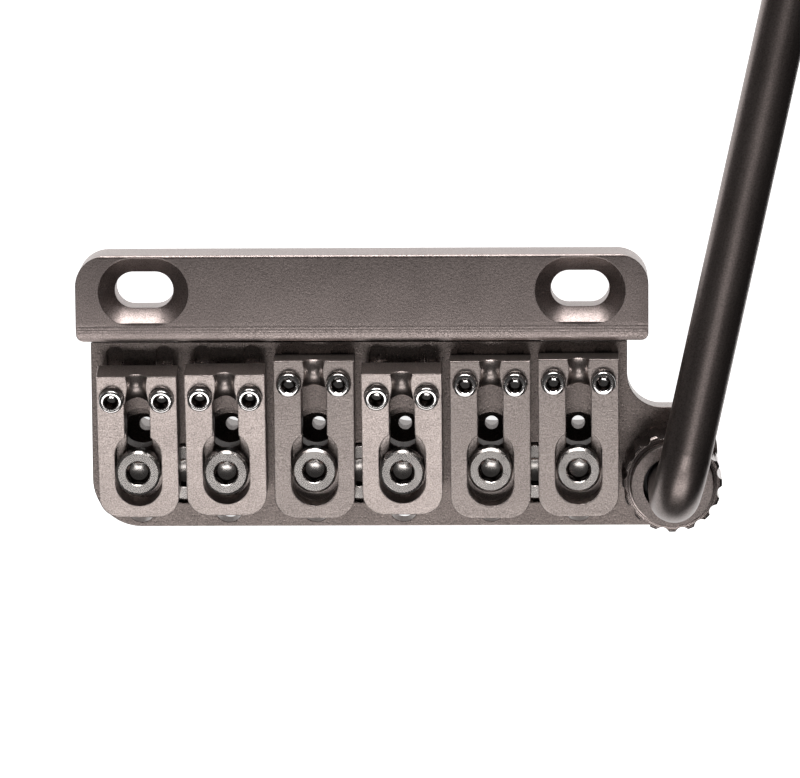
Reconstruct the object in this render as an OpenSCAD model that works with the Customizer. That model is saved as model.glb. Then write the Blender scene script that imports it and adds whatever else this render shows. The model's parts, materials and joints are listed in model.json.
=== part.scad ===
// Six-string tremolo bridge: a fixed mounting bar, a base plate that tilts on a hinge pin inside it,
// a block with the string bores, six saddles, and an arm in a collar with a tension wheel.
// Millimetres. The origin is midway between the two mounting slots, on the face of the guitar.
// +X points to the treble side, +Y to the neck and +Z away from the guitar.

/* [Strings] */
// Distance from one string to the next
string_pitch = 10.8; // [10.7:0.05:11.2]

/* [Mounting bar] */
// Length of the bar
bar_length = 70.3; // [68.5:0.1:76]
// Front face, measured from the slot centre line
bar_front = 4.5; // [4.4:0.1:6]
// Height of the bar above the guitar
bar_height = 6.0; // [5.8:0.1:6.6]
// Corner radius at the neck side, in plan
bar_corner_r = 3.8; // [1:0.1:4.4]
// Corner radius at the saddle side, in plan
bar_tail_corner_r = 1.2; // [0.2:0.1:1.6]
// Round of the top front edge
bar_edge_r = 0.35; // [0.1:0.05:0.8]
// Distance between the mounting slots
slot_spacing = 53.6; // [52.2:0.1:55]
// End-to-end length of a mounting slot
slot_length = 7.2; // [5.5:0.1:8]
// Width of a mounting slot
slot_width = 4.5; // [4.1:0.1:4.7]
// Width of the countersink around a slot
sink_rim = 1.95; // [1.2:0.05:2.1]
// Depth of the countersink
sink_depth = 2.1; // [1.2:0.1:2.4]

/* [Hinge] */
// Distance of the pin axis behind the slot centre line
hinge_setback = 3.9; // [3.8:0.05:4.4]
// Outer radius of the hood over the hinge
hood_r = 2.65; // [2.6:0.05:2.9]
// Wall of the hood
hood_wall = 0.7; // [0.5:0.05:0.75]
// Height of the hood's free edge above the pin axis
hood_lip = 0.8; // [0.6:0.05:1]
// Width of the hollow that the barrel turns in
hood_span = 45.4; // [42:0.1:46]
// Diameter of the hinge pin
pin_d = 2.0; // [1.6:0.1:2.2]
// How far each pin end lies inside the bar
pin_recess = 0.5; // [0.2:0.1:1.5]
// Radius of the plate's hinge barrel
barrel_r = 1.75; // [1.7:0.05:1.85]
// Outer diameter of a hinge bush
bush_d = 2.7; // [2.5:0.05:2.9]
// Length of a hinge bush inside the barrel
bush_length = 6; // [3:0.5:12]
// Thickness of a bush flange
bush_flange = 0.25; // [0.15:0.05:0.3]
// Largest dive of the plate, in degrees
dive_angle = 22; // [15:1:24]

/* [Base plate] */
// Shift of the plate and all it carries towards the treble side of the bar
plate_shift = -0.45; // [-0.8:0.05:0]
// Width of the plate without its lobe
plate_width = 66; // [65:0.1:68]
// Thickness of the plate
plate_thickness = 3.5; // [3.3:0.1:3.8]
// Gap between the plate and the guitar at rest
plate_float = 0.8; // [0.5:0.1:1.1]
// Tail edge, measured from the slot centre line
plate_tail = 29.55; // [29.3:0.05:31]
// Radius of the bass corner
plate_corner_r = 6; // [2:0.5:8]
// Reach of the arm lobe past the plate's treble edge
lobe_reach = 11.1; // [10.8:0.1:12]
// Neck edge of the arm lobe, measured from the slot centre line
lobe_front = 14.8; // [13:0.1:16]
// Radius of the inside corner between plate and lobe
lobe_fillet_r = 4.2; // [1:0.1:6]
// Radius of the lobe's outside corners
lobe_corner_r = 5.4; // [2:0.1:5.6]
// Width of a height screw groove
groove_width = 2.05; // [1.95:0.05:2.3]
// Depth of a height screw groove
groove_depth = 0.6; // [0.4:0.05:0.8]
// Neck end of the grooves, measured from the slot centre line
groove_front = 6.9; // [6.85:0.05:7.3]
// Length of the grooves
groove_length = 9.6; // [9:0.1:10]
// Diameter of a string hole in the plate
string_hole_d = 5; // [3:0.1:5.6]
// String holes, measured from the slot centre line
string_hole_setback = 17.2; // [16.8:0.1:17.4]
// Diameter of a tail hole
tail_hole_d = 3.5; // [2:0.1:3.8]
// Tail holes, measured from the slot centre line
tail_hole_setback = 27.3; // [26.8:0.1:27.4]

/* [Saddles] */
// Width of a saddle
saddle_width = 9.85; // [9:0.05:10.2]
// Thickness of a saddle
saddle_thickness = 4.5; // [4.2:0.1:5]
// Length of the long saddles
saddle_long = 19.6; // [19.2:0.1:19.9]
// Length of the short saddles
saddle_short = 18.2; // [17.8:0.1:18.6]
// Tilt of the long saddles, in degrees
tilt_long = 1.0; // [0.5:0.1:3]
// Tilt of the short saddles, in degrees
tilt_short = 9; // [7:0.1:9.5]
// Tail edge of the saddles, measured from the slot centre line
saddle_tail = 27.5; // [27.3:0.05:27.7]
// Radius of a saddle's tail corners
saddle_corner_r = 2.7; // [1:0.1:3.5]
// Round of the heel that a saddle rocks on
heel_r = 1.0; // [0.5:0.1:1.2]
// Width of the string slot
string_slot_width = 3.1; // [2.4:0.1:3.2]
// Length of the solid nose that carries the string groove
nose_length = 3.4; // [3:0.1:3.8]
// Narrowest width of the string groove
string_groove_waist = 2.3; // [1.6:0.1:2.5]
// Distance of that waist from the front face
waist_setback = 1.35; // [1:0.05:1.45]
// Radius of the string groove's round section
string_groove_r = 1.45; // [1.3:0.05:1.55]
// Width of the clamp screw pocket
pocket_width = 5.7; // [5.65:0.05:6]
// Length of the clamp screw pocket
pocket_length = 9.35; // [9:0.05:9.8]
// Distance of the pocket from the tail edge
pocket_setback = 1.5; // [1.3:0.1:1.6]
// Thickness of the pocket's floor
pocket_floor = 1.5; // [1.2:0.1:1.8]

/* [Screws] */
// Distance between the two height screws of a saddle
height_screw_spacing = 6.1; // [5.8:0.05:6.3]
// Height screws, measured from a saddle's front face
height_screw_setback = 2.8; // [2.5:0.1:3.1]
// Outer diameter of a height screw's thread
height_screw_d = 2.95; // [2.6:0.05:3]
// Length of a height screw in the short saddles
height_screw_short_saddle = 8.8; // [8:0.1:10]
// Length of a height screw in the long saddles, which lie lower
height_screw_long_saddle = 6.8; // [6:0.1:8]
// Width across flats of the height screws' key
height_screw_key = 1.5; // [1.3:0.1:1.5]
// Clamp screws, measured from the slot centre line
clamp_setback = 21.8; // [21.7:0.05:22]
// Shank diameter of a clamp screw
clamp_d = 3; // [2.5:0.1:3]
// Head diameter of a clamp screw
clamp_head_d = 5.5; // [4.5:0.1:5.5]
// Head height of a clamp screw
clamp_head_h = 3; // [2.5:0.1:3.2]
// Width across flats of the clamp screws' key
clamp_key = 2.5; // [2:0.1:3]
// Block screws, measured from the slot centre line
block_screw_setback = 22.9; // [22.5:0.1:23.3]
// Shank diameter of a block screw
block_screw_d = 4; // [3:0.1:4]
// Head diameter of a block screw
block_head_d = 7; // [6:0.1:7.1]
// Head height of a block screw
block_head_h = 2.4; // [2:0.1:2.5]
// Width across flats of the block screws' key
block_key = 3; // [2.5:0.1:3.5]
// Length of a block screw below its head
block_screw_length = 10; // [6:0.5:12]

/* [Block] */
// Width of the block
block_width = 62; // [60.5:0.5:65]
// Thickness of the block
block_thickness = 13.4; // [13.2:0.1:14.5]
// Neck face of the block, measured from the slot centre line
block_front = 12.9; // [12.5:0.1:13.1]
// Depth of the block below the plate
block_depth = 30.8; // [26:0.2:42]
// Radius of the block's upright edges
block_corner_r = 2; // [0.5:0.1:3]
// String bores, measured from the slot centre line
bore_setback = 18.5; // [18.2:0.1:18.8]
// Diameter of the wide bore that a ball end enters from below
ball_bore_d = 8; // [7:0.1:8.4]
// Diameter of the hole that only the string passes
string_bore_d = 1.7; // [1.4:0.1:2.4]
// Depth of the upper bore below the plate
upper_bore_depth = 6.8; // [4:0.1:9]
// Length of the narrow string hole, which ends at the ball's seat
ball_seat_length = 3; // [2:0.1:5]
// Diameter of a spring hole
spring_hole_d = 2.8; // [2:0.1:3]
// Depth of a spring hole
spring_hole_depth = 9; // [5:0.5:14]
// Spring holes, measured from the block's neck face
spring_hole_inset = 2.3; // [2:0.1:2.4]

/* [Arm] */
// Arm axis from the plate's centre line
collar_reach = 38.4; // [38.2:0.05:38.7]
// Arm axis, measured from the slot centre line
collar_setback = 23.0; // [22:0.1:23.6]
// Outer diameter of the collar's tube
collar_tube_d = 8.6; // [8:0.1:9]
// Bore of the collar
collar_bore_d = 7.1; // [6.9:0.1:7.4]
// Diameter of the collar's flange
collar_flange_d = 10; // [9.4:0.1:11]
// Thickness of the collar's flange
collar_flange_h = 1.85; // [1:0.05:3]
// Diameter of the tension wheel over its teeth
wheel_d = 12.2; // [11.4:0.1:13]
// Height of the tension wheel
wheel_h = 7; // [5:0.1:9]
// Number of scallops round the wheel
wheel_scallops = 16; // [12:1:20]
// Radius of a scallop
scallop_r = 0.9; // [0.6:0.05:1]
// Depth of a scallop
scallop_depth = 0.5; // [0.3:0.05:0.6]
// Depth of the liner's top edge below the collar's top
liner_drop = 2.4; // [1:0.1:4]
// Diameter of the arm
arm_d = 6; // [5.5:0.1:6.3]
// Height where the arm starts to bend, above the collar's top
arm_stub = 7.0; // [2:0.1:8]
// Radius of the bend
arm_bend_r = 7; // [5:0.5:12]
// Length of the arm past the bend
arm_length = 143; // [80:1:180]
// Turn of the arm from the neck direction to the treble side
arm_turn = 12.3; // [0:0.1:30]

/* [Hidden] */
$fn = 96;

// Strings are numbered from the bass side. The D, B and high E saddles are long and lie low.
string_count = 6;
long_saddles = [3, 5, 6];
// How far each saddle is set back towards the tail, as its string is tuned
saddle_setbacks = [0.1, -0.1, 0.2, -0.15, 0.3, 0.1];

// Clearances
run_gap = 0.05;     // a shaft in its hole, per side
slide_gap = 0.02;   // faces that slide on each other
swing_gap = 0.12;   // the hood and the plate that swings round it
seat_gap = 0.03;    // under a clamp screw's head
over = 1;           // how far a cut passes the face that it opens

// Finishes
bar_finish = [0.50, 0.46, 0.45];
plate_finish = [0.40, 0.36, 0.34];
saddle_finish = [0.66, 0.61, 0.58];
screw_finish = [0.72, 0.70, 0.69];
arm_finish = [0.30, 0.27, 0.26];
liner_finish = [0.05, 0.05, 0.05];

// Heights and lines that several pieces share
plate_bottom = plate_float;
plate_top = plate_float + plate_thickness;
hinge_y = -hinge_setback;
hinge_z = bar_height - hood_r;
pin_r = pin_d / 2;
hood_cavity_r = hood_r - hood_wall;
cove_r = hood_r + swing_gap;
barrel_length = hood_span - 2 * (bush_flange + run_gap);
lip_reach = sqrt(hood_r * hood_r - hood_lip * hood_lip);
neck_top = hinge_z - lip_reach * sin(dive_angle) + hood_lip * cos(dive_angle) - swing_gap;
plate_front_y = hinge_y - 0.83 * hood_r;

// Saddles: the local origin of each is the centre of its round heel
pocket_start = pocket_setback - heel_r;
pocket_tail_centre = pocket_start + pocket_width / 2;
pocket_neck_centre = pocket_start + pocket_length - pocket_width / 2;
slide_back = pocket_neck_centre + heel_r + clamp_setback - saddle_tail;
shank_slot_r = clamp_d / 2 + 2 * run_gap;
groove_bottom = plate_top - groove_depth;
tip_flat_r = 0.4;
tip_r = groove_width / 2 - 0.125;

// Arm collar, from the plate upwards
wheel_bottom = plate_top + run_gap;
flange_bottom = wheel_bottom + wheel_h + run_gap;
collar_top = flange_bottom + collar_flange_h;
collar_x = plate_shift + collar_reach;
collar_y = -collar_setback;
arm_bend_z = collar_top + arm_stub;
arm_axis_z = arm_bend_z + arm_bend_r;

function string_x(k) = plate_shift + (k - (string_count + 1) / 2) * string_pitch;
function is_long(k) = len(search(k, long_saddles)) > 0;
function saddle_length(k) = is_long(k) ? saddle_long : saddle_short;
function saddle_tilt(k) = is_long(k) ? tilt_long : tilt_short;
function heel_y(k) = heel_r * cos(saddle_tilt(k)) - saddle_tail - saddle_setbacks[k - 1]
    + (saddle_thickness - heel_r) * sin(saddle_tilt(k));
heel_z = plate_top + slide_gap + heel_r;
function nose_u(k) = saddle_length(k) - heel_r;
function screw_u(k) = nose_u(k) - height_screw_setback;
function tip_v(k) = (groove_bottom + slide_gap + tip_flat_r * sin(saddle_tilt(k))
    - heel_z - screw_u(k) * sin(saddle_tilt(k))) / cos(saddle_tilt(k));
// Underside of a clamp screw's head, clear of the sloping pocket floor over the saddle's travel
function clamp_seat(k) = heel_z + seat_gap
    + (clamp_head_d / 2 - clamp_setback - heel_y(k) + slide_back) * tan(saddle_tilt(k))
    + (pocket_floor - heel_r) / cos(saddle_tilt(k));

// Shared shapes

// A flat section in Y and Z, drawn along X
module along_x(length) {
    rotate([90, 0, 90]) linear_extrude(length, center = true) children();
}

// What a round takes off a square corner whose sides run along +X and +Y
module corner_waste(r) {
    difference() {
        translate([-over, -over]) square(r + over);
        translate([r, r]) circle(r);
    }
}

// A slot with round ends, centred on the origin and running along X
module stadium(length, width) {
    square([length - width, width], center = true);
    for (side = [-1, 1]) translate([side * (length - width) / 2, 0]) circle(width / 2);
}

// A hexagonal key socket, open at z = 0 and going down, with its round lead-in
module key_socket(across_flats, depth) {
    corner_r = across_flats / 2 / cos(30);
    translate([0, 0, -depth]) cylinder(h = depth + over, r = corner_r, $fn = 6);
    translate([0, 0, -0.2]) cylinder(h = 0.2 + 0.01, r1 = corner_r - 0.05, r2 = corner_r + 0.16);
}

// A cap screw with its head's underside at z = 0
module cap_screw(d, length, head_d, head_h, across_flats) {
    edge = 0.3;
    difference() {
        rotate_extrude() polygon([
            [0, -length], [d / 2 - edge, -length], [d / 2, edge - length], [d / 2, 0],
            [head_d / 2, 0], [head_d / 2, head_h - edge], [head_d / 2 - edge, head_h], [0, head_h]
        ]);
        translate([0, 0, head_h]) key_socket(across_flats, head_h * 0.55);
    }
}

// Mounting bar and hinge

module bar_section() {
    difference() {
        union() {
            translate([hinge_y, 0]) square([bar_front - hinge_y, bar_height]);
            translate([hinge_y, hinge_z]) circle(hood_r);
        }
        translate([bar_front, bar_height]) mirror([1, 1]) mirror([1, -1]) corner_waste(bar_edge_r);
    }
}

module bar_plan() {
    tail_y = hinge_y - hood_r;
    difference() {
        translate([-bar_length / 2, tail_y]) square([bar_length, bar_front - tail_y]);
        for (side = [-1, 1]) scale([side, 1]) {
            translate([-bar_length / 2, bar_front]) mirror([0, 1]) corner_waste(bar_corner_r);
            translate([-bar_length / 2, tail_y]) corner_waste(bar_tail_corner_r);
        }
    }
}

// Mounting slot with its countersink, cut from above
module mounting_slot() {
    half = (slot_length - slot_width) / 2;
    bottom_r = slot_width / 2;
    translate([0, 0, -over]) linear_extrude(bar_height + 2 * over) stadium(slot_length, slot_width);
    translate([0, 0, bar_height - sink_depth]) {
        for (side = [-1, 1]) translate([side * half, 0, 0])
            cylinder(h = sink_depth, r1 = bottom_r, r2 = bottom_r + sink_rim);
        along_x(2 * half) polygon([
            [-bottom_r, 0], [bottom_r, 0],
            [bottom_r + sink_rim, sink_depth], [-bottom_r - sink_rim, sink_depth]
        ]);
    }
    translate([0, 0, bar_height - 0.001]) linear_extrude(over)
        stadium(slot_length + 2 * sink_rim, slot_width + 2 * sink_rim);
}

module mounting_bar() {
    color(bar_finish) difference() {
        intersection() {
            along_x(bar_length) bar_section();
            translate([0, 0, -over]) linear_extrude(bar_height + 2 * over) bar_plan();
        }
        // hollow for the barrel, and the open space below it
        translate([plate_shift, 0, 0]) along_x(hood_span) {
            translate([hinge_y, hinge_z]) circle(hood_cavity_r);
            translate([hinge_y - hood_r - over, -over])
                square([hood_r + over, hinge_z + hood_lip + over]);
            translate([hinge_y - over, -over]) square([hood_cavity_r + over, hinge_z + over]);
        }
        translate([0, hinge_y, hinge_z]) rotate([0, 90, 0])
            cylinder(h = bar_length + 2 * over, r = pin_r, center = true);
        for (side = [-1, 1]) translate([side * slot_spacing / 2, 0, 0]) mounting_slot();
    }
}

module hinge_pin() {
    edge = 0.2;
    length = bar_length - 2 * pin_recess;
    color(screw_finish) translate([0, hinge_y, hinge_z]) rotate([0, 90, 0])
        rotate_extrude() polygon([
            [0, -length / 2], [pin_r - edge, -length / 2], [pin_r, edge - length / 2],
            [pin_r, length / 2 - edge], [pin_r - edge, length / 2], [0, length / 2]
        ]);
}

// Flanged bushes in both ends of the barrel
module hinge_bushes() {
    color("darkgoldenrod") for (side = [-1, 1])
        translate([plate_shift, hinge_y, hinge_z]) rotate([0, side * 90, 0]) difference() {
            union() {
                translate([0, 0, barrel_length / 2 - bush_length])
                    cylinder(h = bush_length, d = bush_d);
                translate([0, 0, barrel_length / 2]) cylinder(h = bush_flange, r = barrel_r - run_gap);
            }
            translate([0, 0, barrel_length / 2 - bush_length - over])
                cylinder(h = bush_length + bush_flange + 2 * over, r = pin_r + run_gap / 2);
        }
}

// Base plate and block

module plate_outline() {
    half = plate_width / 2;
    right = half + lobe_reach;
    translate([plate_shift, 0]) difference() {
        union() {
            translate([-half, -plate_tail]) square([plate_width, plate_tail + plate_front_y]);
            translate([half - over, -plate_tail]) square([lobe_reach + over, plate_tail - lobe_front]);
            translate([half, -lobe_front]) difference() {
                translate([-over, -over]) square(lobe_fillet_r + over);
                translate([lobe_fillet_r, lobe_fillet_r]) circle(lobe_fillet_r);
            }
        }
        translate([-half, -plate_tail]) corner_waste(plate_corner_r);
        translate([right, -plate_tail]) mirror([1, 0]) corner_waste(lobe_corner_r);
        translate([right, -lobe_front]) rotate(180) corner_waste(lobe_corner_r);
    }
}

module plate_holes() {
    depth = plate_thickness + 2 * over;
    for (k = [1 : string_count]) translate([string_x(k), 0, plate_bottom - over]) {
        translate([0, -string_hole_setback, 0]) cylinder(h = depth, d = string_hole_d);
        translate([0, -tail_hole_setback, 0]) cylinder(h = depth, d = tail_hole_d);
        translate([0, -clamp_setback, 0]) cylinder(h = depth, d = clamp_d);
    }
    for (x = block_screw_xs()) translate([x, -block_screw_setback, 0]) {
        translate([0, 0, plate_bottom - over]) cylinder(h = depth, r = block_screw_d / 2 + 2 * run_gap);
        translate([0, 0, block_head_seat()]) cylinder(h = plate_thickness, r = block_head_d / 2 + 0.3);
    }
    translate([collar_x, collar_y, plate_bottom - over]) cylinder(h = depth, d = collar_tube_d);
}

module screw_grooves() {
    for (k = [1 : string_count], side = [-1, 1])
        translate([
            string_x(k) + side * height_screw_spacing / 2,
            -groove_front - groove_length / 2,
            groove_bottom
        ]) rotate(90) linear_extrude(groove_depth + over) stadium(groove_length, groove_width);
}

module base_plate() {
    neck_y = hinge_y - hood_r - 0.6;
    color(plate_finish) difference() {
        union() {
            difference() {
                translate([0, 0, plate_bottom]) linear_extrude(plate_thickness) plate_outline();
                along_x(plate_width + 2 * (over - plate_shift)) translate([hinge_y, hinge_z]) circle(cove_r);
            }
            translate([plate_shift, 0, 0]) along_x(barrel_length) {
                translate([hinge_y, hinge_z]) circle(barrel_r);
                translate([neck_y, plate_bottom])
                    square([hinge_y - neck_y, neck_top - plate_bottom]);
            }
        }
        translate([plate_shift, hinge_y, hinge_z]) rotate([0, 90, 0]) {
            cylinder(h = barrel_length + over, r = pin_r + 2 * run_gap, center = true);
            for (side = [-1, 1]) translate([0, 0, side * (barrel_length - bush_length) / 2])
                cylinder(h = bush_length + 0.001, d = bush_d, center = true);
        }
        plate_holes();
        screw_grooves();
    }
}

function block_screw_xs() = [for (i = [-1 : 1]) plate_shift + 2 * i * string_pitch];
function block_head_seat() = plate_top - block_head_h - 0.1;

module tremolo_block() {
    color(plate_finish) difference() {
        translate([plate_shift, 0, plate_bottom - block_depth]) linear_extrude(block_depth) difference() {
            translate([-block_width / 2, -block_front - block_thickness])
                square([block_width, block_thickness]);
            for (side = [-1, 1]) scale([side, 1]) {
                translate([-block_width / 2, -block_front]) mirror([0, 1]) corner_waste(block_corner_r);
                translate([-block_width / 2, -block_front - block_thickness])
                    corner_waste(block_corner_r);
            }
        }
        for (k = [1 : string_count]) translate([string_x(k), -bore_setback, plate_bottom]) {
            translate([0, 0, -upper_bore_depth])
                cylinder(h = upper_bore_depth + over, d = string_hole_d);
            translate([0, 0, -block_depth - over])
                cylinder(h = block_depth + over, d = string_bore_d);
            translate([0, 0, -block_depth - over])
                cylinder(h = block_depth + over - upper_bore_depth - ball_seat_length, d = ball_bore_d);
        }
        for (i = [-2 : 2])
            translate([
                plate_shift + i * string_pitch,
                -block_front - spring_hole_inset,
                plate_bottom - block_depth - over
            ]) cylinder(h = spring_hole_depth + over, d = spring_hole_d);
        for (x = block_screw_xs())
            translate([x, -block_screw_setback, block_head_seat() - block_screw_length - 1])
                cylinder(h = block_screw_length + 2, d = block_screw_d);
    }
}

module block_screws() {
    color(screw_finish) for (x = block_screw_xs())
        translate([x, -block_screw_setback, block_head_seat()])
            cap_screw(block_screw_d, block_screw_length, block_head_d, block_head_h, block_key);
}

// Saddles and their screws

module saddle_place(k) {
    translate([string_x(k), heel_y(k), heel_z]) rotate([saddle_tilt(k), 0, 0]) children();
}

module saddle_plan(k) {
    length = saddle_length(k);
    difference() {
        translate([-saddle_width / 2, -heel_r]) square([saddle_width, length]);
        for (side = [-1, 1]) scale([side, 1])
            translate([-saddle_width / 2, -heel_r]) corner_waste(saddle_corner_r);
    }
}

// The groove under the string: a round section bent over the nose, narrowest at its crest, that
// runs out along the wall of the string slot
module string_groove(k) {
    top = saddle_thickness - heel_r;
    rise = sqrt(string_groove_r * string_groove_r - string_groove_waist * string_groove_waist / 4);
    bend = nose_length - waist_setback + string_groove_r;
    floor_v = top + rise - bend;
    intersection() {
        translate([0, nose_u(k) - waist_setback, floor_v])
            rotate([0, 90, 0]) rotate_extrude() translate([bend, 0]) circle(string_groove_r);
        translate([-saddle_width / 2, nose_u(k) - nose_length - over, floor_v])
            cube([saddle_width, nose_length + 2 * over, saddle_thickness + over]);
    }
}

module saddle_cuts(k) {
    depth = saddle_thickness + 2 * over;
    bottom = -heel_r - over;
    // pocket for the clamp screw's head, and the slot for its shank
    translate([0, (pocket_tail_centre + pocket_neck_centre) / 2, pocket_floor - heel_r])
        rotate(90) linear_extrude(saddle_thickness) stadium(pocket_length, pocket_width);
    translate([0, (pocket_tail_centre + pocket_neck_centre) / 2, bottom])
        rotate(90) linear_extrude(depth)
            stadium(pocket_neck_centre - pocket_tail_centre + 2 * shank_slot_r, 2 * shank_slot_r);
    // slot that the string comes up through
    translate([-string_slot_width / 2, pocket_neck_centre, bottom])
        cube([string_slot_width, nose_u(k) - nose_length - pocket_neck_centre, depth]);
    string_groove(k);
    for (side = [-1, 1])
        translate([side * height_screw_spacing / 2, screw_u(k), bottom])
            cylinder(h = depth, r = height_screw_d / 2 + run_gap / 2);
}

module saddle(k) {
    color(saddle_finish) saddle_place(k) difference() {
        translate([0, 0, -heel_r]) linear_extrude(saddle_thickness) saddle_plan(k);
        along_x(saddle_width + 2 * over) translate([-heel_r, -heel_r]) corner_waste(heel_r);
        saddle_cuts(k);
    }
}

// Grub screw standing on its tip at z = 0
module grub_screw(length) {
    r = height_screw_d / 2;
    tip_length = 1.1;
    edge = 0.25;
    difference() {
        rotate_extrude() polygon([
            [0, 0], [tip_flat_r, 0], [tip_r, tip_r - tip_flat_r], [tip_r, tip_length],
            [r, tip_length + r - tip_r], [r, length - edge], [r - edge, length], [0, length]
        ]);
        translate([0, 0, length]) key_socket(height_screw_key, 1.8);
    }
}

module height_screws(k) {
    color(screw_finish) saddle_place(k)
        for (side = [-1, 1]) translate([side * height_screw_spacing / 2, screw_u(k), tip_v(k)])
            grub_screw(is_long(k) ? height_screw_long_saddle : height_screw_short_saddle);
}

module clamp_screws() {
    color(screw_finish) for (k = [1 : string_count])
        translate([string_x(k), -clamp_setback, clamp_seat(k)])
            cap_screw(clamp_d, clamp_seat(k) - plate_bottom, clamp_head_d, clamp_head_h, clamp_key);
}

// Arm, collar and tension wheel

module arm_collar() {
    color(saddle_finish) translate([collar_x, collar_y, 0]) difference() {
        union() {
            translate([0, 0, plate_bottom]) cylinder(h = flange_bottom - plate_bottom, d = collar_tube_d);
            translate([0, 0, flange_bottom]) cylinder(h = collar_flange_h, d = collar_flange_d);
        }
        translate([0, 0, plate_bottom - over])
            cylinder(h = collar_top - plate_bottom + 2 * over, d = collar_bore_d);
    }
}

module collar_liner() {
    slit = 0.8;
    height = collar_top - liner_drop - plate_bottom;
    color(liner_finish) translate([collar_x, collar_y, plate_bottom]) difference() {
        cylinder(h = height, d = collar_bore_d);
        translate([0, 0, -over]) cylinder(h = height + 2 * over, r = arm_d / 2 + run_gap);
        translate([-slit / 2, 0, -over]) cube([slit, collar_bore_d, height + 2 * over]);
    }
}

module tension_wheel() {
    edge = 0.2;
    r = wheel_d / 2;
    color(saddle_finish) translate([collar_x, collar_y, wheel_bottom]) difference() {
        rotate_extrude() polygon([
            [collar_tube_d / 2 + run_gap, 0], [r - edge, 0], [r, edge],
            [r, wheel_h - edge], [r - edge, wheel_h], [collar_tube_d / 2 + run_gap, wheel_h]
        ]);
        for (i = [0 : wheel_scallops - 1]) rotate((i + 0.5) * 360 / wheel_scallops)
            translate([r - scallop_depth + scallop_r, 0, -over])
                cylinder(h = wheel_h + 2 * over, r = scallop_r, $fn = 32);
    }
}

module tremolo_arm() {
    r = arm_d / 2;
    foot = plate_bottom + 0.5;
    edge = 0.5;
    color(arm_finish) translate([collar_x, collar_y, 0]) rotate(-arm_turn) {
        translate([0, 0, foot]) cylinder(h = edge, r1 = r - edge, r2 = r);
        translate([0, 0, foot + edge]) cylinder(h = arm_bend_z - foot - edge, r = r);
        translate([0, arm_bend_r, arm_bend_z]) rotate([90, 0, -90])
            rotate_extrude(angle = 90) translate([arm_bend_r, 0]) circle(r);
        translate([0, arm_bend_r, arm_axis_z]) rotate([-90, 0, 0]) {
            cylinder(h = arm_length, r = r);
            translate([0, 0, arm_length]) sphere(r);
        }
    }
}

mounting_bar();
hinge_pin();
hinge_bushes();
base_plate();
tremolo_block();
block_screws();
saddle(1);  // saddle_1
saddle(2);  // saddle_2
saddle(3);  // saddle_3
saddle(4);  // saddle_4
saddle(5);  // saddle_5
saddle(6);  // saddle_6
height_screws(1);  // height_screws_1
height_screws(2);  // height_screws_2
height_screws(3);  // height_screws_3
height_screws(4);  // height_screws_4
height_screws(5);  // height_screws_5
height_screws(6);  // height_screws_6
clamp_screws();
arm_collar();
collar_liner();
tension_wheel();
tremolo_arm();
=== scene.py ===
"""Six-string tremolo bridge: finishes, machined details, studio and camera.

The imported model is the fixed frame, in metres. +X is the treble side, +Y the neck, and +Z points
away from the guitar. The file is laid out as an add-on and is run as a script.
"""
import json
import math

import bmesh
import bpy
from bpy.props import FloatProperty, FloatVectorProperty, IntProperty, PointerProperty
from mathutils import Matrix, Vector


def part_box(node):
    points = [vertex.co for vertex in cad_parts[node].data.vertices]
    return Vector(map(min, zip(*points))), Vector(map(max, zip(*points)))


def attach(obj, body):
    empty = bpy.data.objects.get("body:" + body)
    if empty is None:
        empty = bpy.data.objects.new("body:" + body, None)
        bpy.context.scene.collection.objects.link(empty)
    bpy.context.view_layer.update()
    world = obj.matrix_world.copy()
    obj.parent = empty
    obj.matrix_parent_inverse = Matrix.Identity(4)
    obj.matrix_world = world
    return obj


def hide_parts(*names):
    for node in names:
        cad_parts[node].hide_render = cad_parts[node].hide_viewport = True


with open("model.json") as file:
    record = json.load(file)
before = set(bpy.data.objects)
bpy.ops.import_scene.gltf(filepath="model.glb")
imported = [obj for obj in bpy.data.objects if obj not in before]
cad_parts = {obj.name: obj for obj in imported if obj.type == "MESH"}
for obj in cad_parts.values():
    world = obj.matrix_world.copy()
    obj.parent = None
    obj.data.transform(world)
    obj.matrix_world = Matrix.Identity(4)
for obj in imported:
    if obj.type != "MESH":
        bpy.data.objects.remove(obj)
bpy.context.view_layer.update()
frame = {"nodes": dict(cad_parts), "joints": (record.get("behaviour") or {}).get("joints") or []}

bl_info = {
    "name": "Tremolo bridge",
    "version": (1, 0, 0),
    "blender": (4, 5, 0),
    "location": "View3D > Sidebar > Bridge",
    "description": "Dresses and lights a six-string tremolo bridge",
    "category": "Object",
}

MM = 0.001
UP = Vector((0, 0, 1))
STRINGS = range(1, 7)

# The picture that the camera is matched to, and the point of the bridge in its middle
PICTURE_WIDTH = 800
SENSOR_WIDTH = 36.0
PICTURE_CENTRE = Vector((4.595 * MM, -12.44 * MM, 4.3 * MM))

# The bridge stands on the foot of its block, and the softboxes face a point among its saddles
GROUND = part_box("tremolo_block")[0].z
LIT_POINT = Vector((0, -15 * MM, 0))

# The screws of one node stand further apart than this
SCREW_GAP = 1.5 * MM

# Direction of the arm over the plate, which its surface lines follow
ROD = 6 * MM
ARM_LOW, ARM_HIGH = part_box("tremolo_arm")
ARM_TURN = math.atan2(ARM_HIGH.x - ARM_LOW.x - ROD, ARM_HIGH.y - ARM_LOW.y - ROD)

# Kinds of lathe row from which the next face lies in the dark of a key socket and gets painted shade
SOCKET_SHADE_ROWS = {"deep", "hex"}

# Edges of the screws are sharp above this angle
SHARP_ANGLE = math.radians(35)


def linear(code):
    """A colour written as sRGB hex, such as 8a807c, as linear RGB."""
    parts = [int(code[i:i + 2], 16) / 255 for i in (0, 2, 4)]
    return tuple(c / 12.92 if c <= 0.04045 else ((c + 0.055) / 1.055) ** 2.4 for c in parts)


# Places taken from the frame

def joint_axis(name):
    """Unit axis of a joint."""
    found = next(j for j in frame["joints"] if j["name"] == name)
    return Vector(found["axis"]).normalized()


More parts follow.
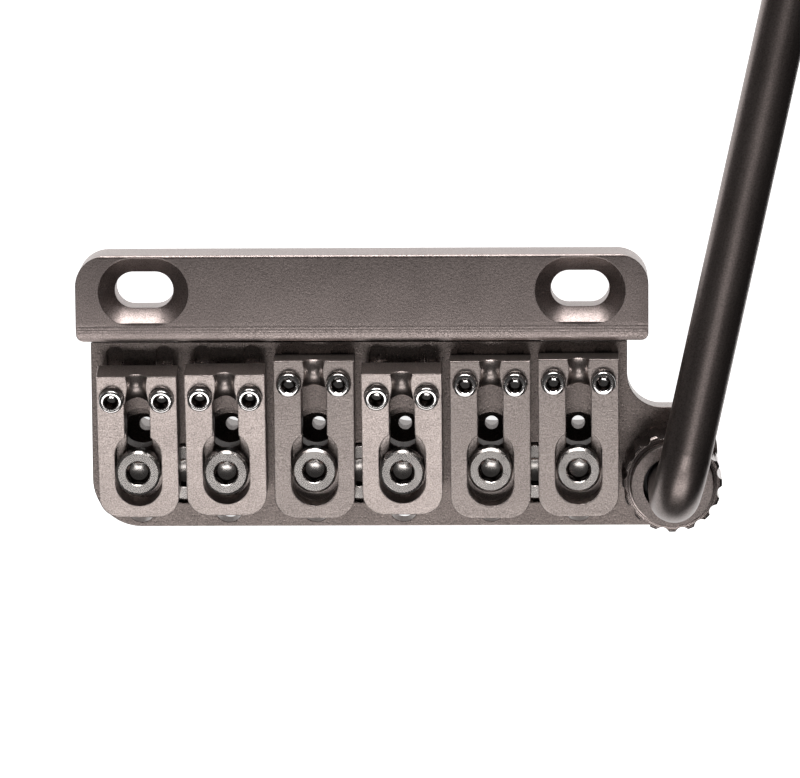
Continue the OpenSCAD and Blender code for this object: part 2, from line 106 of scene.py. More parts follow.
def middle(values):
    """Halfway between the lowest and the highest value."""
    return (min(values) + max(values)) / 2


def split_screws(node):
    """The vertices of each screw in a CAD node whose screws stand side by side along X."""
    corners = [vertex.co for vertex in frame["nodes"][node].data.vertices]
    corners.sort(key=lambda p: p.x)
    groups = [corners[:1]]
    for a, b in zip(corners, corners[1:]):
        if b.x - a.x > SCREW_GAP:
            groups.append([])
        groups[-1].append(b)
    return groups


def screw_seat(points, axis):
    """Where the foot of a screw stands on the screw's axis, and how long the screw is."""
    across = axis.cross(Vector((1, 0, 0)))
    side = middle([p.dot(across) for p in points])
    ends = [p.dot(axis) for p in points]
    foot = Vector((middle([p.x for p in points]), 0, 0)) + across * side + axis * min(ends)
    return foot, max(ends) - min(ends)


def head_sizes(points):
    """Shank radius, length below the head, head radius and head height of an upright cap screw."""
    foot_length = 0.6 * MM
    rim = 0.97
    low, high = min(p.z for p in points), max(p.z for p in points)
    x = middle([p.x for p in points])
    head = max(p.x for p in points) - x
    shank = max(abs(p.x - x) for p in points if p.z < low + foot_length)
    seat = min(p.z for p in points if abs(p.x - x) > head * rim)
    return shank, seat - low, head, high - seat


# Node trees

def add(tree, kind, links=None, **settings):
    """Adds a node, gives its inputs values or links, and sets its other properties."""
    node = tree.nodes.new(kind)
    for name, value in settings.items():
        setattr(node, name, value)
    for name, value in (links or {}).items():
        socket = node.inputs[name]
        if isinstance(value, bpy.types.NodeSocket):
            tree.links.new(value, socket)
        else:
            socket.default_value = value
    return node


def new_material(name):
    """An empty node material and its tree."""
    material = bpy.data.materials.new(name)
    material.use_nodes = True
    material.node_tree.nodes.clear()
    return material, material.node_tree


def finish_material(tree, links):
    """The surface shader and the output, which every finish ends in."""
    shader = add(tree, "ShaderNodeBsdfPrincipled", links)
    add(tree, "ShaderNodeOutputMaterial", {"Surface": shader.outputs["BSDF"]})


def object_place(tree):
    """Object coordinates."""
    return add(tree, "ShaderNodeTexCoord").outputs["Object"]


def drawn_out(tree, place, turn, squeeze):
    """A place turned about Z and squeezed along Y, so that a pattern on it is drawn out there."""
    turned = add(tree, "ShaderNodeMapping", {"Vector": place, "Rotation": (0, 0, turn)})
    return add(tree, "ShaderNodeMapping", {
        "Vector": turned.outputs["Vector"], "Scale": (1, squeeze, 1),
    }).outputs["Vector"]


def noise(tree, place, size, detail=2.0):
    """Noise whose blotches measure about size metres."""
    return add(tree, "ShaderNodeTexNoise", {
        "Vector": place, "Scale": 1 / size, "Detail": detail,
    }).outputs["Fac"]


def spread(tree, value, low, high, from_low=0.3, from_high=0.7):
    """Maps a value from one range, by default that of noise, to another."""
    return add(tree, "ShaderNodeMapRange", {
        "Value": value, "From Min": from_low, "From Max": from_high, "To Min": low, "To Max": high,
    }).outputs["Result"]


def tinted(tree, colour, shade):
    """A colour multiplied by a grey shade that varies over the surface."""
    return add(tree, "ShaderNodeVectorMath", {0: colour, 1: shade}, operation="MULTIPLY").outputs[0]


def calc(tree, operation, first, second):
    """One step of arithmetic on two values."""
    return add(tree, "ShaderNodeMath", {0: first, 1: second}, operation=operation).outputs[0]


def bump(tree, height, depth, normal, strength=1.0):
    """Bumps of a real depth in metres over a normal."""
    return add(tree, "ShaderNodeBump", {
        "Height": height, "Distance": depth, "Normal": normal, "Strength": strength,
    }).outputs["Normal"]


def soft_edge(tree, radius):
    """A normal that rounds each sharp edge by a small radius."""
    return add(tree, "ShaderNodeBevel", {"Radius": radius}, samples=6).outputs["Normal"]


# Finishes

def blasted_steel(name, colour, roughness, grit, edge, form=None):
    """Stainless steel, bead blasted: a fine even grain without direction, and a soft grey sheen."""
    material, tree = new_material(name)
    place = object_place(tree)
    fine = noise(tree, place, grit, 3.0)
    cloud = noise(tree, place, 5 * MM)
    pits = noise(tree, place, grit * 1.7)
    speck = spread(tree, fine, 0.62, 1.38)
    patch = spread(tree, cloud, 0.93, 1.07)
    normal = soft_edge(tree, edge)
    if form:
        normal = bump(tree, form(tree, place), 1.0, normal)
    finish_material(tree, {
        "Base Color": tinted(tree, colour, calc(tree, "MULTIPLY", speck, patch)), "Metallic": 1.0,
        "Roughness": spread(tree, pits, roughness - 0.06, roughness + 0.06),
        "Normal": bump(tree, pits, 0.02 * MM, normal, 0.6),
    })
    return material


def bar_form(tree, place):
    """Relief of the bar's top: a shallow crown, and a land that runs on over the round hood."""
    crown_r = 170 * MM
    hood_line = -3.9 * MM
    hood_r = 2.65 * MM
    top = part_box("mounting_bar")[1].z
    point = add(tree, "ShaderNodeSeparateXYZ", {"Vector": place})
    away = calc(tree, "SUBTRACT", point.outputs["Y"], hood_line)
    crown = calc(tree, "POWER", calc(tree, "MAXIMUM", away, 0.0), 2.0)
    crown = calc(tree, "MULTIPLY", crown, -0.5 / crown_r)
    drop = calc(tree, "SUBTRACT", top, point.outputs["Z"])
    on_hood = calc(tree, "LESS_THAN", away, 0.0)
    land = calc(tree, "MULTIPLY", calc(tree, "MINIMUM", drop, hood_r), on_hood)
    return calc(tree, "ADD", crown, land)


def drawn_steel(name, colour, roughness, edge):
    """Drawn steel rod, blasted lightly: dark satin with faint lines along the rod."""
    material, tree = new_material(name)
    place = object_place(tree)
    fine = noise(tree, place, 0.2 * MM, 3.0)
    lines = noise(tree, drawn_out(tree, place, ARM_TURN, squeeze=0.06), 0.35 * MM)
    cloud = noise(tree, place, 9 * MM)
    speck = spread(tree, fine, 0.75, 1.25)
    streak = spread(tree, lines, 0.92, 1.08)
    finish_material(tree, {
        "Base Color": tinted(tree, colour, calc(tree, "MULTIPLY", speck, streak)), "Metallic": 1.0,
        "Roughness": spread(tree, cloud, roughness - 0.03, roughness + 0.03),
        "Normal": bump(tree, fine, 0.01 * MM, soft_edge(tree, edge), 0.5),
    })
    return material


def turned_metal(name, colour, roughness):
    """Turned or ground metal, bare or plated: an even shine, slightly uneven in tone."""
    material, tree = new_material(name)
    cloud = noise(tree, object_place(tree), 2 * MM)
    finish_material(tree, {
        "Base Color": tinted(tree, colour, spread(tree, cloud, 0.92, 1.08)), "Metallic": 1.0,
        "Roughness": spread(tree, cloud, roughness - 0.02, roughness + 0.02),
    })
    return material


def turned_steel(name, colour, roughness, centre):
    """Turned steel: fine rings round a centre, which pull each highlight out along the radius."""
    material, tree = new_material(name)
    place = object_place(tree)
    out = add(tree, "ShaderNodeVectorMath", {0: place, 1: centre}, operation="SUBTRACT").outputs[0]
    split = add(tree, "ShaderNodeSeparateXYZ", {"Vector": out})
    flat = add(tree, "ShaderNodeCombineXYZ", {"X": split.outputs["X"], "Y": split.outputs["Y"]})
    reach = add(tree, "ShaderNodeVectorMath", {0: flat.outputs["Vector"]}, operation="LENGTH")
    rings = add(tree, "ShaderNodeTexNoise", {
        "W": reach.outputs["Value"], "Scale": 1 / (0.3 * MM), "Detail": 1.0,
    }, noise_dimensions="1D").outputs["Fac"]
    cloud = noise(tree, place, 2 * MM)
    finish_material(tree, {
        "Base Color": tinted(tree, colour, spread(tree, cloud, 0.92, 1.08)), "Metallic": 1.0,
        "Roughness": spread(tree, cloud, roughness - 0.02, roughness + 0.02),
        "Normal": bump(tree, rings, 0.1 * MM, soft_edge(tree, 0.1 * MM)),
    })
    return material


def acetal(name, colour):
    """Acetal plastic, turned: black with a dull wax-like sheen."""
    material, tree = new_material(name)
    grain = noise(tree, object_place(tree), 0.3 * MM)
    finish_material(tree, {
        "Base Color": tinted(tree, colour, spread(tree, grain, 0.85, 1.15)), "IOR": 1.48,
        "Roughness": spread(tree, grain, 0.4, 0.5),
        "Normal": bump(tree, grain, 0.005 * MM, soft_edge(tree, 0.1 * MM), 0.5),
    })
    return material


def socket_shade_metal():
    """Painted shade: the one dark finish that the walls of all key sockets share, for the shade
    inside them.
    """
    name = "painted_shade_socket"
    return bpy.data.materials.get(name) or turned_metal(name, finishes().socket, roughness=0.22)


def dress(node, material):
    """Gives a CAD node a finish."""
    slots = frame["nodes"][node].data.materials
    slots.clear()
    slots.append(material)


# Turned screws

def lathe(name, rows, segments, radius_at):
    """A closed solid of turned rows (radius, height, shape), with a point where a radius is 0.

    radius_at gives a row's radius in one direction, for rows that aren't round.
    """
    work = bmesh.new()
    rings = []
    socket = work.faces.layers.bool.new("socket")
    for radius, height, shape in rows:
        if radius == 0:
            rings.append([work.verts.new((0, 0, height))])
            continue
        ring = []
        for i in range(segments):
            turn = math.tau * i / segments
            reach = radius_at(radius, height, shape, turn)
            ring.append(work.verts.new((reach * math.cos(turn), reach * math.sin(turn), height)))
        rings.append(ring)
    for lower, upper, row in zip(rings, rings[1:], rows):
        for i in range(segments):
            j = (i + 1) % segments
            if len(lower) == 1:
                face = work.faces.new((lower[0], upper[j], upper[i]))
            elif len(upper) == 1:
                face = work.faces.new((lower[i], lower[j], upper[0]))
            else:
                face = work.faces.new((lower[i], lower[j], upper[j], upper[i]))
            # Socket wall faces are marked here for their painted shade
            face[socket] = row[2] in SOCKET_SHADE_ROWS
    bmesh.ops.recalc_face_normals(work, faces=work.faces)
    mesh = bpy.data.meshes.new(name)
    work.to_mesh(mesh)
    work.free()
    return mesh


def circles(*points):
    """Rows of plain circles through (radius, height) points."""
    return [(radius, height, "round") for radius, height in points]


def rounded(radius, height, curve, steps=4):
    """Rows of a rounded edge whose square corner would be at radius, height."""
    turns = [math.pi / 2 * i / steps for i in range(steps + 1)]
    return circles(*(
        (radius - curve + curve * math.cos(turn), height - curve + curve * math.sin(turn))
        for turn in turns
    ))


def socket_rows(top, across_flats, depth, lead):
    """Rows of a hexagonal key socket with a conical lead-in, which ends in a drilled cone."""
    apothem = across_flats / 2
    corner = apothem / math.cos(math.pi / 6)
    floor = top - depth
    step = 0.02 * MM
    return [
        (corner + lead, top, "lead"), (corner, top - lead, "deep"),
        (apothem, top - lead * 1.2, "hex"), (apothem, floor, "hex"),
        (apothem * 0.92, floor - step, "drilled"), (0, floor - apothem * 0.6, "drilled"),
    ]


def socket_radius(radius, height, shape, turn):
    """Radius of a row in one direction, where it is a circle or a hexagon."""
    if shape != "hex":
        return radius
    sector = math.pi / 3
    return radius / math.cos((turn % sector) - sector / 2)


def threaded_radius(start, end, pitch, depth):
    """Radius of rows with a screw thread, which fades in and out over half a turn at its ends."""
    def radius_at(radius, height, shape, turn):
        if shape != "thread":
            return socket_radius(radius, height, shape, turn)
        wave = abs(((height / pitch - turn / math.tau) % 1) * 2 - 1)
        fade = min(1, (height - start) / (pitch / 2), (end - height) / (pitch / 2))
        return radius - depth * wave * max(0, fade)
    return radius_at


def grub_screw_mesh(length, sizes):
    """A grub screw with a half-dog point and a bare neck, standing on its tip at the origin."""
    radius = 2.95 / 2 * MM
    point_r = 0.9 * MM
    point = 1.1 * MM
    chamfer = 0.5 * MM
    start = 1.7 * MM
    end = length - sizes.bare_neck
    rows_per_turn = 6
    step = sizes.thread_pitch / rows_per_turn
    rows = circles((0, 0), (point_r - chamfer, 0), (point_r, chamfer), (point_r, point))
    rows += circles((radius, start))
    for i in range(1, int((end - start) / step)):
        rows.append((radius, start + i * step, "thread"))
    rows += circles((radius, end))
    rows += rounded(radius, length, curve=0.3 * MM)
    rows += socket_rows(length, sizes.height_key, depth=2 * MM, lead=0.14 * MM)
    reach = threaded_radius(start, end, sizes.thread_pitch, sizes.thread_depth)
    return lathe("grub_screw", rows, sizes.grub_segments, reach)


def cap_screw_mesh(shank, length, head, head_height, key, segments):
    """A cap screw with a chamfered head and a key socket, its foot at the origin."""
    top = length + head_height
    foot_edge = 0.3 * MM
    lower_edge = 0.12 * MM
    upper_edge = 0.28 * MM
    rows = circles((0, 0), (shank - foot_edge, 0), (shank, foot_edge), (shank, length))
    rows += circles((head - lower_edge, length), (head, length + lower_edge))
    rows += circles((head, top - upper_edge), (head - upper_edge, top))
    rows += socket_rows(top, key, depth=head_height * 0.6, lead=0.12 * MM)
    return lathe("cap_screw", rows, segments, socket_radius)


# Rows of screws

def mesh_object(name, mesh):
    """A new object at the origin that holds the mesh."""
    made = bpy.data.objects.new(name, mesh)
    bpy.context.scene.collection.objects.link(made)
    return made


def make_row_tree(name):
    """Geometry Nodes: copies of one screw in a row, tilted, made real and given their finishes."""
    tree = bpy.data.node_groups.new(name, "GeometryNodeTree")
    inputs = (
        ("Screw", "NodeSocketObject"), ("Count", "NodeSocketInt"), ("Spacing", "NodeSocketFloat"),
        ("First foot", "NodeSocketVector"), ("Tilt", "NodeSocketFloat"),
        ("Random turn", "NodeSocketFloat"), ("Seed", "NodeSocketInt"),
        ("Finish", "NodeSocketMaterial"), ("Socket shade finish", "NodeSocketMaterial"),
    )
    for label, kind in inputs:
        tree.interface.new_socket(label, in_out="INPUT", socket_type=kind)
    tree.interface.new_socket("Geometry", in_out="OUTPUT", socket_type="NodeSocketGeometry")
    given = add(tree, "NodeGroupInput").outputs
    step = add(tree, "ShaderNodeCombineXYZ", {"X": given["Spacing"]})
    line = add(tree, "GeometryNodeMeshLine", {
        "Count": given["Count"], "Start Location": given["First foot"],
        "Offset": step.outputs["Vector"],
    })
    source = add(tree, "GeometryNodeObjectInfo", {"Object": given["Screw"]})
    chance = add(tree, "FunctionNodeRandomValue", {
        "Min": 0.0, "Max": math.tau, "Seed": given["Seed"],
    }, data_type="FLOAT")
    spin = calc(tree, "MULTIPLY", chance.outputs[1], given["Random turn"])
    own_turn = add(tree, "ShaderNodeCombineXYZ", {"Z": spin})
    tilt = add(tree, "ShaderNodeCombineXYZ", {"X": given["Tilt"]})
    copies = add(tree, "GeometryNodeInstanceOnPoints", {
        "Points": line.outputs["Mesh"], "Instance": source.outputs["Geometry"],
        "Rotation": tilt.outputs["Vector"],
    })
    turned = add(tree, "GeometryNodeRotateInstances", {
        "Instances": copies.outputs["Instances"], "Rotation": own_turn.outputs["Vector"],
        "Local Space": True,
    })
    real = add(tree, "GeometryNodeRealizeInstances", {"Geometry": turned.outputs["Instances"]})
    dressed = add(tree, "GeometryNodeSetMaterial", {
        "Geometry": real.outputs["Geometry"], "Material": given["Finish"],
    })
    # The marked socket walls get the dark socket finish: painted shade for the shade inside them
    socket = add(tree, "GeometryNodeInputNamedAttribute", {"Name": "socket"}, data_type="BOOLEAN")
    darkened = add(tree, "GeometryNodeSetMaterial", {
        "Geometry": dressed.outputs["Geometry"], "Selection": socket.outputs[0],
        "Material": given["Socket shade finish"],
    })
    add(tree, "NodeGroupOutput", {"Geometry": darkened.outputs["Geometry"]})
    return tree


def bake_nodes(name, tree, values):
    """Runs a Geometry Nodes tree with named inputs and returns its result as a plain mesh object."""
    holder = mesh_object(name + "_source", bpy.data.meshes.new(name + "_source"))
    modifier = holder.modifiers.new("nodes", "NODES")
    modifier.node_group = tree
    for item in tree.interface.items_tree:
        if item.item_type == "SOCKET" and item.in_out == "INPUT":
            modifier[item.identifier] = values[item.name]
    depsgraph = bpy.context.evaluated_depsgraph_get()
    mesh = bpy.data.meshes.new_from_object(holder.evaluated_get(depsgraph))
    mesh.name = name
    bpy.data.objects.remove(holder)
    return mesh_object(name, mesh)


def screw_row(name, screw_mesh, foot, seed, finish, count=1, spacing=0.0, tilt=0.0):
    """A row of copies of one screw, each turned by chance, as one plain mesh."""
    tree_name = "screw_row"
    tree = bpy.data.node_groups.get(tree_name) or make_row_tree(tree_name)
    screw = mesh_object(name + "_screw", screw_mesh)
    row = bake_nodes(name, tree, {
        "Screw": screw, "Count": count, "Spacing": spacing, "First foot": foot, "Tilt": tilt,
        "Random turn": 1.0, "Seed": seed, "Finish": finish, "Socket shade finish": socket_shade_metal(),
    })
    bpy.data.objects.remove(screw)
    return row


def join_pieces(name, pieces):
    """One object of several that share their finishes."""
    work = bmesh.new()
    for piece in pieces:
        work.from_mesh(piece.data)
    mesh = bpy.data.meshes.new(name)
    work.to_mesh(mesh)
    work.free()
    for material in pieces[0].data.materials:
        mesh.materials.append(material)
    for piece in pieces:
        bpy.data.objects.remove(piece)
    return mesh_object(name, mesh)


def stand_for(node, piece, body):
    """Shades a piece smooth between its sharp edges and puts it in the place of a CAD node."""
    for polygon in piece.data.polygons:
        polygon.use_smooth = True
    piece.data.set_sharp_from_angle(angle=SHARP_ANGLE)
    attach(piece, body)
    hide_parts(node)


# Stage

def seen_directly(tree):
    """1 for rays from the camera, from metal and through glass, and 0 for light that bounces."""
    path = add(tree, "ShaderNodeLightPath").outputs
    shown = calc(tree, "MAXIMUM", path["Is Camera Ray"], path["Is Glossy Ray"])
    return calc(tree, "MAXIMUM", shown, path["Is Transmission Ray"])


def stage_sheet(name, corners, material):
    """A flat sheet of the stage, which isn't part of the bridge."""
    mesh = bpy.data.meshes.new(name)
    mesh.from_pydata(corners, [], [(0, 1, 2, 3)])
    mesh.materials.append(material)
    sheet = mesh_object(name, mesh)
    return sheet


def make_floor():
    """A white floor under the block. It shows as white where it is lit, and keeps the shadow."""
    half = 6.0
    material, tree = new_material("white_floor")
    paper = add(tree, "ShaderNodeBsdfDiffuse", {"Color": (0.8, 0.8, 0.8, 1)})
    glow = add(tree, "ShaderNodeEmission", {"Color": (1, 1, 1, 1), "Strength": 0.9})
    both = add(tree, "ShaderNodeAddShader", {0: paper.outputs[0], 1: glow.outputs[0]})
    surface = add(tree, "ShaderNodeMixShader", {
        0: seen_directly(tree), 1: paper.outputs[0], 2: both.outputs[0],
    })
    add(tree, "ShaderNodeOutputMaterial", {"Surface": surface.outputs[0]})
    corners = [(-half, -half), (half, -half), (half, half), (-half, half)]
    stage_sheet("floor", [(x, y, GROUND) for x, y in corners], material)


def make_flag(name, start, end, glow):
    """A dark card on the floor, which the steel's sides reflect and the camera doesn't see."""
    top = 50 * MM
    material, tree = new_material(name)
    card = add(tree, "ShaderNodeEmission", {"Color": (1, 0.98, 0.97, 1), "Strength": glow})
    add(tree, "ShaderNodeOutputMaterial", {"Surface": card.outputs[0]})
    corners = [(*start, GROUND), (*end, GROUND), (*end, top), (*start, top)]
    flag = stage_sheet(name, corners, material)
    flag.visible_camera = False
    flag.visible_shadow = False


def make_room(strength):
    """A dim even room, with the white backdrop along the horizon."""
    horizon_top = 0.03
    world = bpy.data.worlds.new("room")
    bpy.context.scene.world = world
    world.use_nodes = True
    tree = world.node_tree
    tree.nodes.clear()
    way = add(tree, "ShaderNodeTexCoord")
    split = add(tree, "ShaderNodeSeparateXYZ", {"Vector": way.outputs["Generated"]})
    horizon = spread(tree, split.outputs["Z"], 1.0, 0.0, 0.0, horizon_top)
    backdrop = calc(tree, "MULTIPLY", horizon, seen_directly(tree))
    room = add(tree, "ShaderNodeBackground", {"Color": (1, 0.98, 0.97, 1), "Strength": strength})
    white = add(tree, "ShaderNodeBackground", {"Color": (1, 1, 1, 1), "Strength": 1.0})
    both = add(tree, "ShaderNodeMixShader", {0: backdrop, 1: room.outputs[0], 2: white.outputs[0]})
    add(tree, "ShaderNodeOutputWorld", {"Surface": both.outputs[0]})


def make_softbox(name, radiance, lean, distance, size):
    """A softbox that leans, by degrees towards X and Y, from straight above the lit point."""
    toward = Vector([math.tan(math.radians(angle)) for angle in lean] + [1]).normalized()
    data = bpy.data.lights.new(name, "AREA")
    data.shape = "RECTANGLE"
    data.size, data.size_y = size
    data.energy = radiance * math.pi * size[0] * size[1]
    data.color = (1.0, 0.985, 0.975)
    lamp = bpy.data.objects.new(name, data)
    lamp.location = LIT_POINT + toward * distance
    lamp.rotation_mode = "QUATERNION"
    lamp.rotation_quaternion = toward.to_track_quat("Z", "Y")
    bpy.context.scene.collection.objects.link(lamp)


# Settings

class BRIDGE_PG_finishes(bpy.types.PropertyGroup):
    """Colours and grain of the finishes"""
    bar: FloatVectorProperty(
        name="Mounting bar", description="Blasted steel of the bar", subtype="COLOR",
        default=linear("958a87"))
    plate: FloatVectorProperty(
        name="Base plate", description="Blasted steel of the plate and block", subtype="COLOR",
        default=linear("857b77"))
    saddle: FloatVectorProperty(
        name="Saddles", description="Blasted steel of the saddles", subtype="COLOR",
        default=linear("9e9490"))
    collar: FloatVectorProperty(
        name="Collar", description="Blasted steel of the collar", subtype="COLOR",
        default=linear("857c79"))
    wheel: FloatVectorProperty(
        name="Tension wheel", description="Turned steel of the wheel", subtype="COLOR",
        default=linear("857c79"))
    arm: FloatVectorProperty(
        name="Arm", description="Dark satin steel of the arm", subtype="COLOR",
        default=linear("857b78"))
    chrome: FloatVectorProperty(
        name="Height screws", description="Polished plating of the height screws, and the ground "
        "steel of the hinge pin", subtype="COLOR", default=linear("d0cdcc"))
    # Painted shade: this dark colour on the walls of the key sockets stands for the shade inside
    # them, not for bare metal
    socket: FloatVectorProperty(
        name="Key sockets", description="Dark metal in the screws' sockets, which the plating "
        "hardly reaches", subtype="COLOR", default=linear("332b28"))
    cap_screw: FloatVectorProperty(
        name="Cap screws", description="Satin plating of the cap screws", subtype="COLOR",
        default=linear("b8b3b0"))
    bronze: FloatVectorProperty(
        name="Bushes", description="Turned bronze of the hinge bushes", subtype="COLOR",
        default=linear("b8985f"))
    plastic: FloatVectorProperty(
        name="Liner", description="Black acetal of the collar's liner", subtype="COLOR",
        default=linear("161616"))
    grit: FloatProperty(
        name="Blasting grain", description="Width of the grain, as coarse as it needs to show",
        unit="LENGTH", default=0.15 * MM)
    edge: FloatProperty(
        name="Broken edge", description="Radius of the broken edges", unit="LENGTH",
        default=0.15 * MM)


class BRIDGE_PG_screws(bpy.types.PropertyGroup):
    """Sizes of the screws that the frame doesn't give"""
    thread_pitch: FloatProperty(
        name="Thread pitch", description="Pitch of the height screws' thread", unit="LENGTH",
        default=0.5 * MM)
    thread_depth: FloatProperty(
        name="Thread depth", description="Depth of the height screws' thread", unit="LENGTH",
        default=0.27 * MM)
    bare_neck: FloatProperty(
        name="Bare neck", description="Length at the top of a height screw without thread",
        unit="LENGTH", default=2 * MM)
    height_key: FloatProperty(
        name="Height screw key", description="Across flats of the height screws' sockets",
        unit="LENGTH", default=1.5 * MM)
    clamp_key: FloatProperty(
        name="Clamp screw key", description="Across flats of the clamp screws' sockets",
        unit="LENGTH", default=2.5 * MM)
    block_key: FloatProperty(
        name="Block screw key", description="Across flats of the block screws' sockets",
        unit="LENGTH", default=3 * MM)
    grub_segments: IntProperty(
        name="Height screw segments", description="Sides of a height screw",
        default=36, min=12, max=96)
    cap_segments: IntProperty(
        name="Cap screw segments", description="Sides of a cap screw", default=48, min=12, max=96)


class BRIDGE_PG_studio(bpy.types.PropertyGroup):
    """Camera and lights"""
    distance: FloatProperty(
        name="Camera distance", description="From the middle of the picture, on the plate's top",
        unit="LENGTH", default=0.75)
    lean_neck: FloatProperty(
        name="Lean to the neck", description="Camera's lean from upright", unit="ROTATION",
        default=math.radians(9.85))
    lean_treble: FloatProperty(
        name="Lean to the treble side", description="Camera's lean from upright",
        unit="ROTATION", default=math.radians(1.5))
    roll: FloatProperty(
        name="Roll", description="Camera's roll", unit="ROTATION", default=math.radians(-0.45))
    scale: FloatProperty(
        name="Picture scale", description="Pixels for each metre at the plate's top",
        default=8121.0)
    strip_power: FloatProperty(
        name="Strip", description="Radiance of the strip just tailward of the mirror direction",
        default=5.2)
    tail_power: FloatProperty(
        name="Tail light", description="Radiance of the broad softbox over the tail", default=2.6)
    neck_power: FloatProperty(
        name="Neck light", description="Radiance of the low softbox at the neck", default=13.0)
    room: FloatProperty(
        name="Room", description="Radiance of the room", default=0.06)


def finishes():
    """The scene's finish settings."""
    return bpy.context.scene.bridge_finishes


def screws():
    """The scene's screw settings."""
    return bpy.context.scene.bridge_screws


def studio():
    """The scene's camera and light settings."""
    return bpy.context.scene.bridge_studio


# Operators

class BRIDGE_OT_camera(bpy.types.Operator):
    """Set the camera over the bridge, as in the photograph"""
    bl_idname = "bridge.camera"
    bl_label = "Camera"

    def execute(self, context):
        view = studio()
        back = Vector((math.tan(view.lean_treble), math.tan(view.lean_neck), 1)).normalized()
        right = Vector((0, 1, 0)).cross(back).normalized()
        level = Matrix((right, back.cross(right), back)).transposed().to_4x4()
        data = bpy.data.cameras.new("camera")
        data.sensor_width = SENSOR_WIDTH
        data.lens = view.scale * view.distance / PICTURE_WIDTH * SENSOR_WIDTH
        data.clip_start = 0.05
        data.clip_end = 20
        camera = bpy.data.objects.new("camera", data)
        camera.matrix_world = (
            Matrix.Translation(PICTURE_CENTRE + back * view.distance)
            @ level @ Matrix.Rotation(view.roll, 4, "Z")
        )
        context.scene.collection.objects.link(camera)
        context.scene.camera = camera
        return {"FINISHED"}


class BRIDGE_OT_stage(bpy.types.Operator):
    """Make the pale floor, the dark cards at its sides, the room and the softboxes"""
    bl_idname = "bridge.stage"
    bl_label = "Stage"

    def execute(self, context):
        level = studio()
        make_floor()
        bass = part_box("mounting_bar")[0].x - 45 * MM
        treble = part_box("tremolo_arm")[1].x + 15 * MM
        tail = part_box("base_plate")[0].y - 75 * MM
        neck = 300 * MM
        make_flag("bass_flag", (bass, tail), (bass, neck), glow=0.09)
        make_flag("treble_flag", (treble, tail), (treble, neck), glow=0.03)
        make_flag("tail_flag", (bass, tail), (treble, tail), glow=0.06)
        make_room(level.room)
        make_softbox(
            "strip_light", level.strip_power, lean=(-2, -22.5), distance=1.0, size=(0.5, 0.2))
        make_softbox(
            "tail_light", level.tail_power, lean=(-8, -58), distance=1.0, size=(0.8, 0.48))
        make_softbox(
            "neck_light", level.neck_power, lean=(0, 76), distance=1.2, size=(1.2, 0.34))
        context.scene.view_settings.view_transform = "Standard"
        return {"FINISHED"}


class BRIDGE_OT_mounting_bar(bpy.types.Operator):
    """Finish the mounting bar and its hinge pin"""
    bl_idname = "bridge.mounting_bar"
    bl_label = "Mounting bar"

    def execute(self, context):
        look = finishes()
        dress("mounting_bar", blasted_steel(
            "blasted_steel_bar", look.bar, roughness=0.38, grit=look.grit, edge=look.edge,
            form=bar_form))
        dress("hinge_pin", turned_metal("ground_steel_pin", look.chrome, roughness=0.2))
        return {"FINISHED"}


class BRIDGE_OT_base_plate(bpy.types.Operator):
    """Finish the base plate, its block and the hinge bushes"""
    bl_idname = "bridge.base_plate"
    bl_label = "Base plate and block"

    def execute(self, context):
        look = finishes()
        steel = blasted_steel(
            "blasted_steel_plate", look.plate, roughness=0.32, grit=look.grit, edge=look.edge)
        dress("base_plate", steel)
        dress("tremolo_block", steel)
        dress("hinge_bushes", turned_metal("turned_bronze", look.bronze, roughness=0.3))
        return {"FINISHED"}


class BRIDGE_OT_saddles(bpy.types.Operator):
    """Finish the six saddles"""
    bl_idname = "bridge.saddles"
    bl_label = "Saddles"

    def execute(self, context):
        look = finishes()
        steel = blasted_steel(
            "blasted_steel_saddle", look.saddle, roughness=0.34, grit=look.grit,
            edge=look.edge * 1.5)
        for k in STRINGS:
            dress(f"saddle_{k}", steel)
        return {"FINISHED"}


class BRIDGE_OT_height_screws(bpy.types.Operator):
    """Make the twelve threaded height screws, two in each saddle"""
    bl_idname = "bridge.height_screws"
    bl_label = "Height screws"

    def execute(self, context):
        chrome = turned_metal("polished_chrome", finishes().chrome, roughness=0.14)
        for k in STRINGS:
            node = f"height_screws_{k}"
            axis = joint_axis(f"saddle_{k}_height")
            seats = [screw_seat(points, axis) for points in split_screws(node)]
            foot, length = seats[0]
            row = screw_row(
                f"threaded_{node}", grub_screw_mesh(length, screws()), foot, seed=k, finish=chrome,
                count=len(seats), spacing=seats[1][0].x - foot.x,
                tilt=math.atan2(-axis.y, axis.z))
            stand_for(node, row, f"height_pair_{k}")
        return {"FINISHED"}


class BRIDGE_OT_cap_screws(bpy.types.Operator):
    """Make the clamp screws of the saddles and the screws that hold the block"""
    bl_idname = "bridge.cap_screws"
    bl_label = "Clamp and block screws"

    def execute(self, context):
        sizes = screws()
        satin = turned_metal("satin_plating", finishes().cap_screw, roughness=0.26)
        kinds = (("clamp_screws", sizes.clamp_key, 6), ("block_screws", sizes.block_key, 3))
        for node, key, first_seed in kinds:
            made = []
            for i, points in enumerate(split_screws(node)):
                mesh = cap_screw_mesh(*head_sizes(points), key, sizes.cap_segments)
                foot = screw_seat(points, UP)[0]
                made.append(screw_row(f"{node}_{i}", mesh, foot, first_seed + 7 * i, satin))
            stand_for(node, join_pieces(f"machined_{node}", made), "plate")
        return {"FINISHED"}


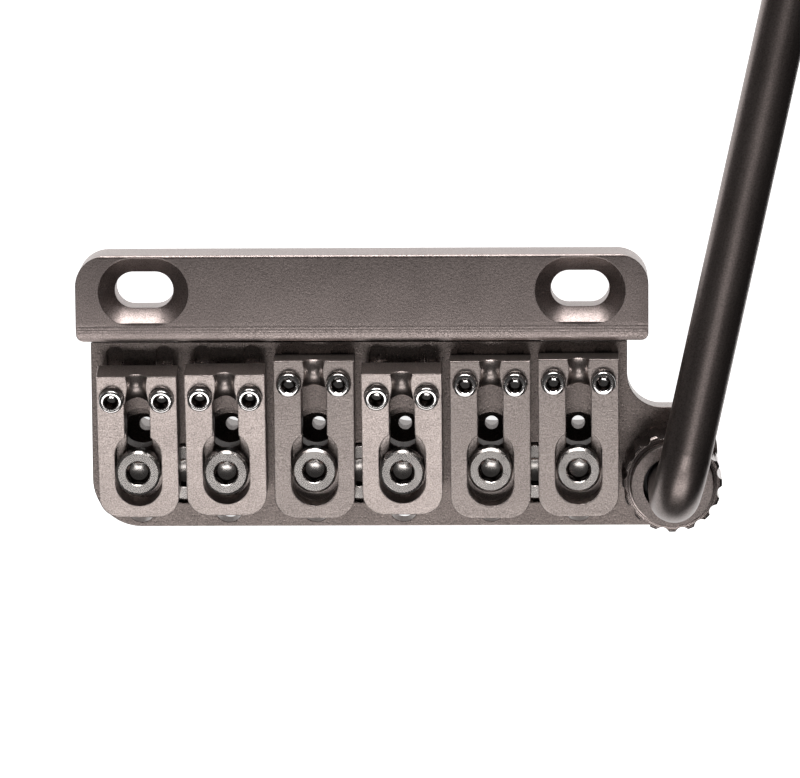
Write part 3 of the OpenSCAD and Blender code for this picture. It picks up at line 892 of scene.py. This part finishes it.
class BRIDGE_OT_arm(bpy.types.Operator):
    """Finish the arm, its collar, the liner and the tension wheel"""
    bl_idname = "bridge.arm"
    bl_label = "Arm and collar"

    def execute(self, context):
        look = finishes()
        low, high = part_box("tension_wheel")
        dress("arm_collar", blasted_steel(
            "blasted_steel_collar", look.collar, roughness=0.36, grit=look.grit, edge=look.edge))
        dress("tension_wheel", turned_steel(
            "turned_steel_wheel", look.wheel, roughness=0.2, centre=(low + high) / 2))
        dress("collar_liner", acetal("black_acetal", look.plastic))
        dress("tremolo_arm", drawn_steel(
            "drawn_steel_arm", look.arm, roughness=0.36, edge=0.1 * MM))
        return {"FINISHED"}


class BRIDGE_PT_panel(bpy.types.Panel):
    """Lists the steps, in the order in which they run, and their settings"""
    bl_idname = "BRIDGE_PT_panel"
    bl_label = "Tremolo bridge"
    bl_space_type = "VIEW_3D"
    bl_region_type = "UI"
    bl_category = "Bridge"

    def draw(self, context):
        for operator in OPERATORS:
            self.layout.operator(operator.bl_idname)
        for group in (finishes(), screws(), studio()):
            box = self.layout.box()
            for name in group.bl_rna.properties.keys():
                if name not in {"rna_type", "name"}:
                    box.prop(group, name)


OPERATORS = (
    BRIDGE_OT_camera, BRIDGE_OT_stage, BRIDGE_OT_mounting_bar, BRIDGE_OT_base_plate,
    BRIDGE_OT_saddles, BRIDGE_OT_height_screws, BRIDGE_OT_cap_screws, BRIDGE_OT_arm,
)
GROUPS = {
    "bridge_finishes": BRIDGE_PG_finishes,
    "bridge_screws": BRIDGE_PG_screws,
    "bridge_studio": BRIDGE_PG_studio,
}
CLASSES = (*GROUPS.values(), *OPERATORS, BRIDGE_PT_panel)


def register():
    """Registers the classes and gives the scene its settings."""
    for cls in CLASSES:
        bpy.utils.register_class(cls)
    for name, group in GROUPS.items():
        setattr(bpy.types.Scene, name, PointerProperty(type=group))


def unregister():
    """Takes away what register adds."""
    for name in GROUPS:
        delattr(bpy.types.Scene, name)
    for cls in reversed(CLASSES):
        bpy.utils.unregister_class(cls)


def main():
    """Makes the whole scene."""
    register()
    for operator in OPERATORS:
        group, name = operator.bl_idname.split(".")
        getattr(getattr(bpy.ops, group), name)()


if __name__ == "__main__":
    main()
